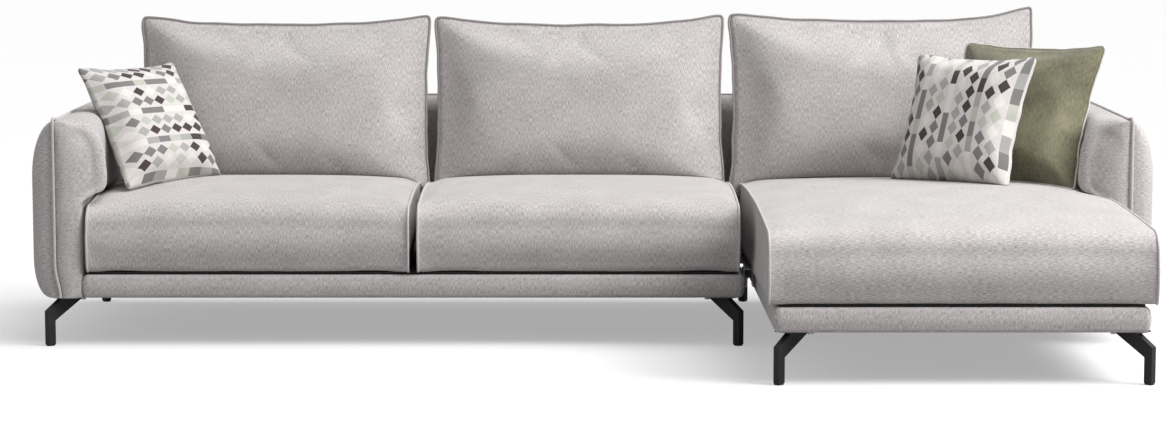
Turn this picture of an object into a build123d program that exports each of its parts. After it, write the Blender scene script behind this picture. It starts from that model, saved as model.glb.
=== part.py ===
from build123d import *
import math
import os

# Driving dimensions of an L-shaped sofa, in millimetres and degrees.
# Bases: padded platforms on angled legs
LEG_HEIGHT = 130.0
BASE_HEIGHT = 70.0
SOFA_BASE_DEPTH = 770.0
CHAISE_BASE_WIDTH = 926.0
CHAISE_BASE_DEPTH = 1420.0
UNIT_GAP = 36.0
BORDER_THICKNESS = 14.0
BORDER_ROUND = 10.0
RAIL_THICKNESS = 32.0
DECK_THICKNESS = 4.0
DUST_COVER_THICKNESS = 2.0
CORNER_BLOCK_SIZE = 112.0
SOFA_CROSS_RAILS = 3
CHAISE_CROSS_RAILS = 3
WEB_WIDTH = 60.0
WEB_THICKNESS = 2.0
WEB_PITCH = 118.0

# Arms and backrests: timber frames in foam, with a puffed outer panel
ARM_BASE_WIDTH = 132.0
ARM_OVERHANG = 58.0
ARM_SHELF_HEIGHT = 416.0
ARM_SHELF_ROUND = 22.0
ARM_FRONT_HEIGHT = 604.0
ARM_ROLL_WIDTH = 74.0
ARM_ROLL_DROP = 118.0
ARM_FRONT_ROUND = 30.0
WALL_HEIGHT = 622.0
BACKREST_THICKNESS = 180.0
BACKREST_ROLL = 46.0
BACKREST_END_GAP = 2.0
PANEL_BULGE = 60.0
PANEL_FOOT = 22.0
PANEL_TUCK_LOW = 120.0
PANEL_TUCK_HIGH = 150.0
PANEL_END_ROUND = 70.0
PANEL_END_THICKNESS = 24.0
FOAM_THICKNESS = 22.0
TIMBER_WIDTH = 45.0
ARM_POSTS = 3
SOFA_BACK_POSTS = 5
CHAISE_BACK_POSTS = 3

# Seat cushions: boxed, crowned on top, side panels drawn in
SEAT_WIDTH = 884.0
SEAT_GAP = 2.0
SEAT_HEIGHT = 182.0
SEAT_CROWN = 34.0
CHAISE_CROWN = 44.0
SEAT_SIDE_CROWN = 12.0
SEAT_SIDE_DROP = 8.0
SEAT_OVERHANG = 24.0
SEAT_FRONT_BULGE = 10.0
SEAT_EDGE_ROUND = 44.0
SEAT_LOWER_ROUND = 14.0
SEAT_DRAW = 5.0
SEAT_STATIONS = (-1, -0.86, -0.5, 0.5, 0.86, 1)
SEAT_SWELL_POWER = 3
CHAISE_SIDE_OVERHANG = 25.0
CHAISE_ARM_GAP = 2.0

# Back cushions: loose pillows with thin piped edges, leaning on the backrest
BACK_CUSHION_MARGIN = 48.0
CHAISE_BACK_CUSHION_ARM_GAP = 26.0
BACK_CUSHION_HEIGHT = 474.0
CHAISE_BACK_CUSHION_HEIGHT = 490.0
BACK_CUSHION_FRONT = 112.0
BACK_CUSHION_REAR = 88.0
BACK_CUSHION_EDGE = 24.0
BACK_CUSHION_FOOT = 120.0
BACK_CUSHION_DIP = 40.0
BACK_CUSHION_DRAW = 14.0
BACK_CUSHION_LEAN = 12.0
BACK_CUSHION_SETBACK = 130.0
BACK_CUSHION_LIFT = 18.0
CHAISE_BACK_CUSHION_SETBACK = 130.7
CHAISE_BACK_CUSHION_LIFT = 16.4
BACK_CUSHION_SIDE_GAP = 4.0
BACK_CUSHION_GAP = 16.0

# Pillow shape: places across a pillow as shares of its half width, and how fast it swells from its sides
PILLOW_STATIONS = (-1, -0.8, -0.35, 0.35, 0.8, 1)
PILLOW_SWELL_POWER = 2.6
PILLOW_END_BOW = 0.75
PILLOW_DRAW_SPAN = 0.9
BOW_STEPS = 7

# Scatter cushions: square pillows that lean in the two corners
SCATTER_SIZE = 370.0
OLIVE_SIZE = 430.0
SCATTER_HALF_THICKNESS = 62.0
SCATTER_EDGE = 16.0
SCATTER_DRAW = 14.0
LEFT_SCATTER_FROM_ARM = 168.0
LEFT_SCATTER_FROM_FRONT = 301.4
LEFT_SCATTER_LIFT = 35.8
LEFT_SCATTER_TURN = 54.0
LEFT_SCATTER_LEAN = 30.0
OLIVE_FROM_ARM = 200.6
OLIVE_FROM_FRONT = 191.7
OLIVE_LIFT = 40.7
OLIVE_TURN = -36.0
OLIVE_LEAN = 26.0
RIGHT_SCATTER_FROM_ARM = 328.6
RIGHT_SCATTER_FROM_FRONT = 142.8
RIGHT_SCATTER_LIFT = 42.8
RIGHT_SCATTER_TURN = -40.0
RIGHT_SCATTER_LEAN = 22.0

# Legs: bent flat bars, set diagonally under each corner
FOOT_BAR = 22.0
LEG_BAR_THICKNESS = 18.0
LEG_OUTER_KNEE = 94.0
LEG_INNER_KNEE = 68.0
LEG_TOP_START = 34.0
LEG_TOP_END = 106.0
LEG_PLATE_START = 20.0
LEG_PLATE_END = 134.0
LEG_PLATE_WIDTH = 64.0
LEG_PLATE_THICKNESS = 4.0
FOOT_INSET = 14.0
ARM_FOOT_INSET = 42.0
GLIDE_HEIGHT = 4.0
GLIDE_INSET = 1.5
SCREW_RADIUS = 3.5
SCREW_LENGTH = 34.0
SCREW_HEAD_WIDTH = 13.0
SCREW_HEAD_HEIGHT = 7.0
SCREW_SIDE_OFFSET = 20.0
SCREW_PLACE = 95.0
SCREW_CLEARANCE = 0.5

# Bolts between the bases and their arms and backrests
BOLT_RADIUS = 5.0
BOLT_HEAD_WIDTH = 17.0
BOLT_HEAD_HEIGHT = 7.0
BOLT_BITE = 30.0
BOLT_CLEARANCE = 0.5
BOLT_END_DISTANCE = 220.0
SOFA_BACK_BOLTS = 4
CHAISE_BACK_BOLTS = 2
ARM_BOLTS = 2

# Hooks that hold the chaise unit to the two-seat unit
HOOK_THICKNESS = 3.0
HOOK_WIDTH = 60.0
HOOK_END_DISTANCE = 190.0
HOOK_MARGIN = 10.0
SOCKET_DEPTH = 18.0
SOCKET_LIP = 28.0
HOOK_TONGUE = 40.0

# Soft pieces start this far from what carries them and settle until they stop just short of it
START_GAP = 10.0
TOUCH_GAP = 0.3

HALF_ROOT = math.sqrt(0.5)

# Layout from the driving dimensions, origin on the floor at the middle of the whole sofa
sofa_base_width = 2 * SEAT_WIDTH + 3 * SEAT_GAP
overall_width = 2 * ARM_BASE_WIDTH + sofa_base_width + UNIT_GAP + CHAISE_BASE_WIDTH
overall_depth = BACKREST_THICKNESS + CHAISE_BASE_DEPTH + SEAT_OVERHANG
sofa_x0 = ARM_BASE_WIDTH - overall_width / 2
sofa_x1 = sofa_x0 + sofa_base_width
chaise_x0 = sofa_x1 + UNIT_GAP
chaise_x1 = chaise_x0 + CHAISE_BASE_WIDTH
units_meet_x = sofa_x1 + UNIT_GAP / 2
rear_y = overall_depth / 2
wall_y = rear_y - BACKREST_THICKNESS
sofa_y0 = wall_y - SOFA_BASE_DEPTH
chaise_y0 = wall_y - CHAISE_BASE_DEPTH
base_top = LEG_HEIGHT + BASE_HEIGHT
seat_edge = base_top + SEAT_HEIGHT
arm_depth = rear_y - sofa_y0
seam_x = ARM_BASE_WIDTH - PANEL_BULGE
rail_bottom = LEG_HEIGHT + DUST_COVER_THICKNESS
rail_top = base_top - DECK_THICKNESS - 2 * WEB_THICKNESS
bolt_height = (rail_bottom + rail_top) / 2

ACROSS = dict(x_dir=(0, 1, 0), z_dir=(1, 0, 0))
ALONG = dict(x_dir=(1, 0, 0), z_dir=(0, -1, 0))


def box_between(x0, x1, y0, y1, z0, z1):
    """A straight board, given by its six faces."""
    centre = Pos((x0 + x1) / 2, (y0 + y1) / 2, (z0 + z1) / 2)
    return centre * Box(x1 - x0, y1 - y0, z1 - z0)


def corner_arc(start, corner, end):
    """A quarter round from start to end inside a square corner."""
    middle = [c + (s - c + e - c) * (1 - HALF_ROOT) for s, c, e in zip(start, corner, end)]
    return ThreePointArc(start, tuple(middle), end)


def bowed(arc):
    """A soft bow as short straight steps along its arc, which keeps a stuffed face light."""
    places = [arc @ (step / BOW_STEPS) for step in range(BOW_STEPS + 1)]
    return [Line(a, b) for a, b in zip(places, places[1:])]


def spread(first, last, count):
    """Evenly spaced places from first to last."""
    return [first + (last - first) * i / (count - 1) for i in range(count)]


def base_borders(x0, x1, y0, y1):
    """Padded fabric borders round the front and both ends of a base."""
    front = box_between(x0, x1, y0, y0 + BORDER_THICKNESS, LEG_HEIGHT, base_top)
    outer = front.edges().filter_by(lambda e: abs(e.center().Y - y0) < BORDER_THICKNESS / 10)
    front = fillet(outer, BORDER_ROUND)
    ends = []
    for end_x, inward in ((x0, 1), (x1, -1)):
        inner_x = end_x + inward * BORDER_THICKNESS
        strip = box_between(
            min(end_x, inner_x), max(end_x, inner_x), y0 + BORDER_THICKNESS, y1, LEG_HEIGHT, base_top
        )
        ends.append(strip)
    return [front] + ends


def base_rails(x0, x1, y0, y1, cross_rails):
    """Timber rails inside the borders: front, rear, two sides and the cross rails between them."""
    left, right = x0 + BORDER_THICKNESS, x1 - BORDER_THICKNESS
    front_y = y0 + BORDER_THICKNESS
    front = box_between(left, right, front_y, front_y + RAIL_THICKNESS, rail_bottom, rail_top)
    rear = box_between(left, right, y1 - RAIL_THICKNESS, y1, rail_bottom, rail_top)
    inner_y = (front_y + RAIL_THICKNESS, y1 - RAIL_THICKNESS)
    sides = [
        box_between(left, left + RAIL_THICKNESS, *inner_y, rail_bottom, rail_top),
        box_between(right - RAIL_THICKNESS, right, *inner_y, rail_bottom, rail_top),
    ]
    wide = x1 - x0 > y1 - y0
    places = spread(left if wide else front_y, right if wide else y1, cross_rails + 2)[1:-1]
    crosses = []
    for place in places:
        lo, hi = place - RAIL_THICKNESS / 2, place + RAIL_THICKNESS / 2
        if wide:
            crosses.append(box_between(lo, hi, *inner_y, rail_bottom, rail_top))
        else:
            inner_x = (left + RAIL_THICKNESS, right - RAIL_THICKNESS)
            crosses.append(box_between(*inner_x, lo, hi, rail_bottom, rail_top))
    return front, rear, sides, crosses


def corner_blocks(x0, x1, y0, y1):
    """Square blocks in the four inner corners, flush with the underside, that take the leg screws."""
    margin = BORDER_THICKNESS + RAIL_THICKNESS
    blocks = []
    for left in (x0 + margin, x1 - margin - CORNER_BLOCK_SIZE):
        for front in (y0 + margin, y1 - RAIL_THICKNESS - CORNER_BLOCK_SIZE):
            right, rear = left + CORNER_BLOCK_SIZE, front + CORNER_BLOCK_SIZE
            blocks.append(box_between(left, right, front, rear, LEG_HEIGHT, rail_top))
    return blocks


def seat_webbing(x0, x1, y0, y1):
    """Elastic straps over the rails: one layer front to back, one side to side."""
    left, right = x0 + BORDER_THICKNESS, x1 - BORDER_THICKNESS
    front = y0 + BORDER_THICKNESS
    lower = (rail_top, rail_top + WEB_THICKNESS)
    upper = (lower[1], lower[1] + WEB_THICKNESS)
    straps = []
    for x in spread(left + WEB_PITCH, right - WEB_PITCH, round((right - left) / WEB_PITCH) - 1):
        straps.append(box_between(x - WEB_WIDTH / 2, x + WEB_WIDTH / 2, front, y1, *lower))
    for y in spread(front + WEB_PITCH, y1 - WEB_PITCH, round((y1 - front) / WEB_PITCH) - 1):
        straps.append(box_between(left, right, y - WEB_WIDTH / 2, y + WEB_WIDTH / 2, *upper))
    return straps


def deck_cloth(x0, x1, y0, y1):
    """Cloth over the webbing, which the seat cushions lie on."""
    left, right = x0 + BORDER_THICKNESS, x1 - BORDER_THICKNESS
    return box_between(left, right, y0 + BORDER_THICKNESS, y1, base_top - DECK_THICKNESS, base_top)


def dust_cover(x0, x1, y0, y1, blocks):
    """Thin cloth that closes the underside round the corner blocks."""
    left, right = x0 + BORDER_THICKNESS, x1 - BORDER_THICKNESS
    sheet = box_between(left, right, y0 + BORDER_THICKNESS, y1, LEG_HEIGHT, rail_bottom)
    for block in blocks:
        sheet -= block
    return sheet


def panel_section(y, bulge, foot, height):
    """Outline of a puffed panel at one place along it: flat at the seam, swelling outwards."""
    bottom = LEG_HEIGHT
    low, high = bottom + PANEL_TUCK_LOW, height - PANEL_TUCK_HIGH
    edges = [
        Line((0, bottom), (foot, bottom)),
        TangentArc((bulge, low), (foot, bottom), tangent=(0, -1)),
        Line((bulge, low), (bulge, high)),
        TangentArc((bulge, high), (0, height), tangent=(0, 1)),
        Line((0, height), (0, bottom)),
    ]
    return Plane(origin=(0, y, 0), **ALONG) * make_face(edges)


def puffed_panel(length, front_height, rear_height, bulge):
    """Outer panel that swells from its seam, thin at both ends."""
    ends = PANEL_END_ROUND
    stations = [0, ends, length - ends, length]
    swells = [0, 1, 1, 0]
    sections = []
    for y, swell in zip(stations, swells):
        height = front_height + (rear_height - front_height) * y / length
        out = PANEL_END_THICKNESS + (bulge - PANEL_END_THICKNESS) * swell
        sections.append(panel_section(y, out, PANEL_FOOT * out / bulge, height))
    return loft(sections, ruled=True)


def timber_frame(length, front_height, rear_height, inner_x, outer_x, posts):
    """Posts between a wide bottom rail and a top rail, inside a wall's foam."""
    start, end = FOAM_THICKNESS, length - FOAM_THICKNESS
    foot_top = rail_top
    top = min(front_height, rear_height) - FOAM_THICKNESS
    bottom_rail = box_between(0, outer_x, start, end, LEG_HEIGHT, foot_top)
    top_rail = box_between(inner_x, outer_x, start, end, top - TIMBER_WIDTH, top)
    pieces = [bottom_rail, top_rail]
    for y in spread(start, end - TIMBER_WIDTH, posts):
        pieces.append(box_between(inner_x, outer_x, y, y + TIMBER_WIDTH, foot_top, top - TIMBER_WIDTH))
    return pieces


def frame_pocket(length, front_height, rear_height, inner_x, outer_x):
    """Room for a timber frame, open to the outer panel and to the base."""
    start, end = FOAM_THICKNESS, length - FOAM_THICKNESS
    top = min(front_height, rear_height) - FOAM_THICKNESS
    hollow = box_between(inner_x, outer_x, start, end, LEG_HEIGHT, top)
    return hollow + box_between(0, outer_x, start, end, LEG_HEIGHT, rail_top)


def arm_section(y, height, inset):
    """Front outline of an arm's pad: a slim foot, an overhang over the seat and a rolled top."""
    top = height - inset
    inner = -ARM_OVERHANG + inset
    roll = inner + ARM_ROLL_WIDTH
    shelf = ARM_SHELF_HEIGHT + inset / 2
    round_end = shelf + ARM_SHELF_ROUND
    edges = [
        Line((inset / 2, LEG_HEIGHT), (seam_x, LEG_HEIGHT)),
        Line((seam_x, LEG_HEIGHT), (seam_x, top)),
        Line((seam_x, top), (roll, top)),
        *bowed(TangentArc((inner, top - ARM_ROLL_DROP), (roll, top), tangent=(0, 1))),
        Line((inner, top - ARM_ROLL_DROP), (inner, round_end)),
        corner_arc((inner, round_end), (inner, shelf), (inner + ARM_SHELF_ROUND, shelf)),
        Line((inner + ARM_SHELF_ROUND, shelf), (inset / 2, shelf)),
        Line((inset / 2, shelf), (inset / 2, LEG_HEIGHT)),
    ]
    return Plane(origin=(0, y, 0), **ALONG) * make_face(edges)


def arm_pad():
    """Foam and cover of an arm's front, inside and top, hollow for its timber frame."""
    turn = ARM_FRONT_ROUND
    depths = [0, turn * (1 - HALF_ROOT), turn, arm_depth]
    insets = [turn * HALF_ROOT, turn * (1 - HALF_ROOT) * HALF_ROOT, 0, 0]
    sections = []
    for y, inset in zip(depths, insets):
        height = ARM_FRONT_HEIGHT + (WALL_HEIGHT - ARM_FRONT_HEIGHT) * y / arm_depth
        sections.append(arm_section(y, height, inset))
    pad = loft(sections, ruled=True)
    back_start = arm_depth - BACKREST_THICKNESS
    behind = box_between(-ARM_OVERHANG, 0, back_start, arm_depth, LEG_HEIGHT, WALL_HEIGHT)
    hollow = frame_pocket(arm_depth, ARM_FRONT_HEIGHT, WALL_HEIGHT, FOAM_THICKNESS, seam_x)
    return pad - behind - hollow


def arm_pieces(side):
    """Frame, pad and outer panel of one arm; side is -1 at the left end and 1 at the right."""
    frame = timber_frame(arm_depth, ARM_FRONT_HEIGHT, WALL_HEIGHT, FOAM_THICKNESS, seam_x, ARM_POSTS)
    pad = arm_pad()
    panel = Pos(seam_x, 0, 0) * puffed_panel(arm_depth, ARM_FRONT_HEIGHT, WALL_HEIGHT, PANEL_BULGE)
    inner_x = sofa_x0 if side < 0 else chaise_x1
    place = Pos(inner_x, sofa_y0, 0)
    pieces = []
    for solids in (frame, [pad], [panel]):
        turned = [s.mirror(Plane.YZ) if side < 0 else s for s in solids]
        pieces.append([place * s for s in turned])
    return pieces


def backrest_pieces(x0, x1, posts):
    """Frame, pad and rear panel of a backrest between two ends; local x points to the rear."""
    length = x1 - x0
    thickness = BACKREST_THICKNESS - PANEL_BULGE
    edges = [
        Line((0, LEG_HEIGHT), (thickness, LEG_HEIGHT)),
        Line((thickness, LEG_HEIGHT), (thickness, WALL_HEIGHT)),
        Line((thickness, WALL_HEIGHT), (BACKREST_ROLL, WALL_HEIGHT)),
        corner_arc((BACKREST_ROLL, WALL_HEIGHT), (0, WALL_HEIGHT), (0, WALL_HEIGHT - BACKREST_ROLL)),
        Line((0, WALL_HEIGHT - BACKREST_ROLL), (0, LEG_HEIGHT)),
    ]
    profile = Plane(origin=(0, 0, 0), **ALONG) * make_face(edges)
    pad = extrude(profile, length, dir=(0, 1, 0))
    pad -= frame_pocket(length, WALL_HEIGHT, WALL_HEIGHT, FOAM_THICKNESS, thickness)
    frame = timber_frame(length, WALL_HEIGHT, WALL_HEIGHT, FOAM_THICKNESS, thickness, posts)
    panel = Pos(thickness, 0, 0) * puffed_panel(length, WALL_HEIGHT, WALL_HEIGHT, PANEL_BULGE)
    place = Pos(x1, wall_y, 0) * Rot(0, 0, 90)
    return [[place * s for s in solids] for solids in (frame, [pad], [panel])]


def seat_section(x, y_front, y_rear, top, crown, bulge):
    """Side outline of a seat cushion: flat below, rounded edges, crowned top, soft front."""
    z0 = base_top
    lower, upper = SEAT_LOWER_ROUND, SEAT_EDGE_ROUND
    edges = [
        Line((y_front + lower, z0), (y_rear - lower, z0)),
        corner_arc((y_rear - lower, z0), (y_rear, z0), (y_rear, z0 + lower)),
        Line((y_rear, z0 + lower), (y_rear, top - upper)),
        corner_arc((y_rear, top - upper), (y_rear, top), (y_rear - upper, top)),
        ThreePointArc((y_rear - upper, top), ((y_front + y_rear) / 2, top + crown), (y_front + upper, top)),
        corner_arc((y_front + upper, top), (y_front, top), (y_front, top - upper)),
        ThreePointArc(
            (y_front, top - upper), (y_front - bulge, (top - upper + z0 + lower) / 2), (y_front, z0 + lower)
        ),
        corner_arc((y_front, z0 + lower), (y_front, z0), (y_front + lower, z0)),
    ]
    return Plane(origin=(x, 0, 0), **ACROSS) * make_face(edges)


def seat_cushion(x0, x1, base_front, top_crown):
    """Boxed seat cushion between two side seams, reaching back to the backrest."""
    y_front = base_front - SEAT_OVERHANG + SEAT_FRONT_BULGE
    y_rear = wall_y - TOUCH_GAP
    sections = []
    for place in SEAT_STATIONS:
        swell = 1 - abs(place) ** SEAT_SWELL_POWER
        top = seat_edge - SEAT_SIDE_DROP * (1 - swell)
        crown = SEAT_SIDE_CROWN + (top_crown - SEAT_SIDE_CROWN) * swell
        x = (x0 + x1) / 2 + place * (x1 - x0) / 2
        bulge = SEAT_FRONT_BULGE * (1 + swell) / 2
        sections.append(seat_section(x, y_front, y_rear, top, crown, bulge))
    cushion = loft(sections, ruled=True)
    chord = y_rear - y_front - 2 * SEAT_EDGE_ROUND
    radius = (chord**2 / 4 + SEAT_DRAW**2) / (2 * SEAT_DRAW)
    tall = 2 * (seat_edge + top_crown)
    for side_x, outward in ((x0, -1), (x1, 1)):
        centre = Pos(side_x + outward * (radius - SEAT_DRAW), (y_front + y_rear) / 2, 0)
        cushion -= centre * Cylinder(radius, tall)
    return cushion


def pillow_section(x, low, top, front, rear, edge, foot):
    """Thickness outline of a pillow at one place across it: two bowed faces and thin edges."""
    middle = (low + top) / 2
    edges = [
        Line((foot, low), (-foot, low)),
        *bowed(ThreePointArc((-foot, low), (-front, middle), (-edge, top))),
        Line((-edge, top), (edge, top)),
        *bowed(ThreePointArc((edge, top), (rear, middle), (foot, low))),
    ]
    return Plane(origin=(x, 0, 0), **ACROSS) * make_face(edges)


def pillow(width, height, front, rear, edge, foot, dips, draw):
    """Stuffed pillow standing on its lower edge, crowned, with all its sides drawn in."""
    sections = []
    thin = edge / 2
    end_bow = PILLOW_END_BOW * edge
    for place in PILLOW_STATIONS:
        swell = 1 - abs(place) ** PILLOW_SWELL_POWER
        inside = 1 - place**2
        sections.append(
            pillow_section(
                place * width / 2,
                dips[0] * inside,
                height - dips[1] * inside,
                end_bow + (front - end_bow) * swell,
                end_bow + (rear - end_bow) * swell,
                thin,
                thin + (foot / 2 - thin) * swell,
            )
        )
    solid = loft(sections, ruled=True)
    chord = height * PILLOW_DRAW_SPAN
    radius = (chord**2 / 4 + draw**2) / (2 * draw)
    for side in (-1, 1):
        centre = Pos(side * (width / 2 + radius - draw), 0, height / 2)
        solid -= centre * Rot(90, 0, 0) * Cylinder(radius, 4 * (front + rear))
    return solid


def close_up(piece, supports, direction, gap):
    """Move a piece along a direction until it is one gap from its supports."""
    room = min(piece.distance_to(s) for s in supports) - gap
    while room > TOUCH_GAP / 4:
        piece = Pos(*(direction * room)) * piece
        room = min(piece.distance_to(s) for s in supports) - gap
    return piece


def rest_on(piece, seat, behind, turn):
    """Lower a soft piece onto its seat and lean it back on what stands behind it."""
    down = Vector(0, 0, -1)
    back = Vector(-math.sin(math.radians(turn)), math.cos(math.radians(turn)), 0)
    piece = Pos(*((down + back) * -START_GAP)) * piece
    piece = close_up(piece, [seat], down, 3 * TOUCH_GAP)
    piece = close_up(piece, behind, back, 2 * TOUCH_GAP)
    return close_up(piece, [seat], down, TOUCH_GAP)


def back_cushion(centre_x, width, height, setback, lift, seat, backrest):
    """Back cushion on its seat cushion, leaning back on the top edge of the backrest."""
    solid = pillow(
        width,
        height,
        BACK_CUSHION_FRONT,
        BACK_CUSHION_REAR,
        BACK_CUSHION_EDGE,
        BACK_CUSHION_FOOT,
        (0, BACK_CUSHION_DIP),
        BACK_CUSHION_DRAW,
    )
    solid = Pos(centre_x, wall_y - setback, seat_edge + lift) * Rot(-BACK_CUSHION_LEAN, 0, 0) * solid
    return rest_on(solid, seat, [backrest], 0)


def scatter_cushion(size, x, y, lift, turn, lean, seat, behind):
    """Square scatter cushion on a seat, turned and leaning back on what stands behind it."""
    solid = pillow(
        size,
        size,
        SCATTER_HALF_THICKNESS,
        SCATTER_HALF_THICKNESS,
        SCATTER_EDGE,
        SCATTER_EDGE * 2,
        (SCATTER_DRAW, SCATTER_DRAW),
        SCATTER_DRAW,
    )
    solid = Pos(x, y, seat_edge + lift) * Rot(0, 0, turn) * Rot(-lean, 0, 0) * solid
    return rest_on(solid, seat, behind, turn)


def leg(turn, foot_x, foot_y):
    """Bent flat bar from a foot outside to a screwed plate inside, along one diagonal."""
    half = FOOT_BAR / 2
    plate_bottom = LEG_HEIGHT - LEG_PLATE_THICKNESS
    outline = Polyline(
        (-half, GLIDE_HEIGHT),
        (half, GLIDE_HEIGHT),
        (half, LEG_INNER_KNEE),
        (LEG_TOP_END, plate_bottom),
        (LEG_TOP_START, plate_bottom),
        (-half, LEG_OUTER_KNEE),
        close=True,
    )
    profile = Plane(origin=(0, 0, 0), **ALONG) * make_face(outline)
    bar = extrude(profile, LEG_BAR_THICKNESS / 2, dir=(0, 1, 0), both=True)
    width = LEG_PLATE_WIDTH / 2
    bar += box_between(LEG_PLATE_START, LEG_PLATE_END, -width, width, plate_bottom, LEG_HEIGHT)
    for x, y in screw_places():
        bar -= Pos(x, y, plate_bottom) * Cylinder(SCREW_RADIUS + SCREW_CLEARANCE, 3 * LEG_PLATE_THICKNESS)
    return Pos(foot_x, foot_y, 0) * Rot(0, 0, turn) * bar


def screw_places():
    """Two screws through a leg's plate, one each side of the bar."""
    return [(SCREW_PLACE, SCREW_SIDE_OFFSET), (SCREW_PLACE, -SCREW_SIDE_OFFSET)]


def leg_screws(turn, foot_x, foot_y):
    """Hexagon-head wood screws up through a leg's plate into the timber above."""
    head_top = LEG_HEIGHT - LEG_PLATE_THICKNESS
    screws = []
    for x, y in screw_places():
        head = extrude(RegularPolygon(SCREW_HEAD_WIDTH / 2, 6, major_radius=False), SCREW_HEAD_HEIGHT)
        shank = Pos(0, 0, SCREW_HEAD_HEIGHT) * extrude(Circle(SCREW_RADIUS), SCREW_LENGTH)
        screw = Pos(x, y, head_top - SCREW_HEAD_HEIGHT) * (head + shank)
        screws.append(Pos(foot_x, foot_y, 0) * Rot(0, 0, turn) * screw)
    return screws


def foot_glide(turn, foot_x, foot_y):
    """Plastic glide under a foot."""
    half = FOOT_BAR / 2 - GLIDE_INSET
    side = LEG_BAR_THICKNESS / 2 - GLIDE_INSET
    return Pos(foot_x, foot_y, 0) * Rot(0, 0, turn) * box_between(-half, half, -side, side, 0, GLIDE_HEIGHT)


def bolt(x, y, direction, grip):
    """Hexagon bolt lying at rail height; its head rests on the rail and its end bites into timber."""
    head = Pos(0, 0, -BOLT_HEAD_HEIGHT) * extrude(
        RegularPolygon(BOLT_HEAD_WIDTH / 2, 6, major_radius=False), BOLT_HEAD_HEIGHT
    )
    shank = extrude(Circle(BOLT_RADIUS), grip + BOLT_BITE)
    return Plane(origin=(x, y, bolt_height), z_dir=direction) * (head + shank)


def bolt_hole(x, y, direction, grip):
    """Clearance hole for a bolt through what it grips."""
    return Plane(origin=(x, y, bolt_height), z_dir=direction) * extrude(
        Circle(BOLT_RADIUS + BOLT_CLEARANCE), grip
    )


def hook_places():
    """Places along the depth where the two units hook together."""
    return [sofa_y0 + HOOK_END_DISTANCE, wall_y - HOOK_END_DISTANCE]


def hook_socket(y):
    """Bracket on the two-seat unit, bent up into a pocket that is open at the top."""
    t = HOOK_THICKNESS
    low, high = LEG_HEIGHT + HOOK_MARGIN, base_top - HOOK_MARGIN
    outline = Polyline(
        (0, low),
        (SOCKET_DEPTH, low),
        (SOCKET_DEPTH, low + SOCKET_LIP),
        (SOCKET_DEPTH - t, low + SOCKET_LIP),
        (SOCKET_DEPTH - t, low + t),
        (t, low + t),
        (t, high),
        (0, high),
        close=True,
    )
    profile = Plane(origin=(sofa_x1, y, 0), **ALONG) * make_face(outline)
    return extrude(profile, HOOK_WIDTH / 2, dir=(0, 1, 0), both=True)


def hook_plate(y):
    """Bracket on the chaise unit, bent over and down into the pocket of its socket."""
    t = HOOK_THICKNESS
    low, high = LEG_HEIGHT + HOOK_MARGIN, base_top - HOOK_MARGIN
    reach = UNIT_GAP - SOCKET_DEPTH / 2 + t / 2
    outline = Polyline(
        (0, low),
        (0, high),
        (-reach, high),
        (-reach, high - HOOK_TONGUE),
        (t - reach, high - HOOK_TONGUE),
        (t - reach, high - t),
        (-t, high - t),
        (-t, low),
        close=True,
    )
    profile = Plane(origin=(chaise_x0, y, 0), **ALONG) * make_face(outline)
    return extrude(profile, HOOK_WIDTH / 2, dir=(0, 1, 0), both=True)


def save(name, solids):
    """Write one node: a single solid, or several that belong together."""
    solids = solids if isinstance(solids, list) else [solids]
    shape = solids[0] if len(solids) == 1 else Compound(children=[Solid(s.solid().wrapped) for s in solids])
    export_step(shape, os.path.join("parts", name + ".step"))


def save_unit(name, x0, x1, y0, cross_rails, arm_side, arm_name, back_ends, back_posts, back_bolts, feet):
    """Write every fixed piece of one unit and return its arm pad and backrest pad."""
    borders = base_borders(x0, x1, y0, wall_y)
    front, rear, sides, crosses = base_rails(x0, x1, y0, wall_y, cross_rails)
    blocks = corner_blocks(x0, x1, y0, wall_y)
    arm_frame, arm_cover, arm_panel = arm_pieces(arm_side)
    back_frame, back_cover, back_panel = backrest_pieces(*back_ends, back_posts)

    bolts = []
    arm_rail = 1 if arm_side > 0 else 0
    arm_border = 2 if arm_side > 0 else 1
    head_x = (x1 if arm_side > 0 else x0) - arm_side * (BORDER_THICKNESS + RAIL_THICKNESS)
    grip = RAIL_THICKNESS + BORDER_THICKNESS
    for y in spread(sofa_y0 + BOLT_END_DISTANCE, wall_y - BOLT_END_DISTANCE, ARM_BOLTS):
        bolts.append(bolt(head_x, y, (arm_side, 0, 0), grip))
        hole = bolt_hole(head_x, y, (arm_side, 0, 0), grip)
        sides[arm_rail] -= hole
        borders[arm_border] -= hole
    for x in spread(x0 + BOLT_END_DISTANCE, x1 - BOLT_END_DISTANCE, back_bolts):
        bolts.append(bolt(x, wall_y - RAIL_THICKNESS, (0, 1, 0), RAIL_THICKNESS))
        rear -= bolt_hole(x, wall_y - RAIL_THICKNESS, (0, 1, 0), RAIL_THICKNESS)

    save(name + "_border", borders)
    save(name + "_front_rail", front)
    save(name + "_rear_rail", rear)
    save(name + "_side_rails", sides)
    save(name + "_cross_rails", crosses)
    save(name + "_corner_blocks", blocks)
    save(name + "_webbing", seat_webbing(x0, x1, y0, wall_y))
    save(name + "_deck_cloth", deck_cloth(x0, x1, y0, wall_y))
    save(name + "_dust_cover", dust_cover(x0, x1, y0, wall_y, blocks))
    save(name + "_frame_bolts", bolts)
    save(arm_name + "_frame", arm_frame)
    save(arm_name + "_pad", arm_cover)
    save(arm_name + "_panel", arm_panel)
    save(name + "_back_frame", back_frame)
    save(name + "_back_pad", back_cover)
    save(name + "_back_panel", back_panel)
    for corner, place in feet.items():
        save(name + "_leg_" + corner, leg(*place))
    save(name + "_foot_glides", [foot_glide(*place) for place in feet.values()])
    save(name + "_leg_screws", [screw for place in feet.values() for screw in leg_screws(*place)])
    return arm_cover[0], back_cover[0]


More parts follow.
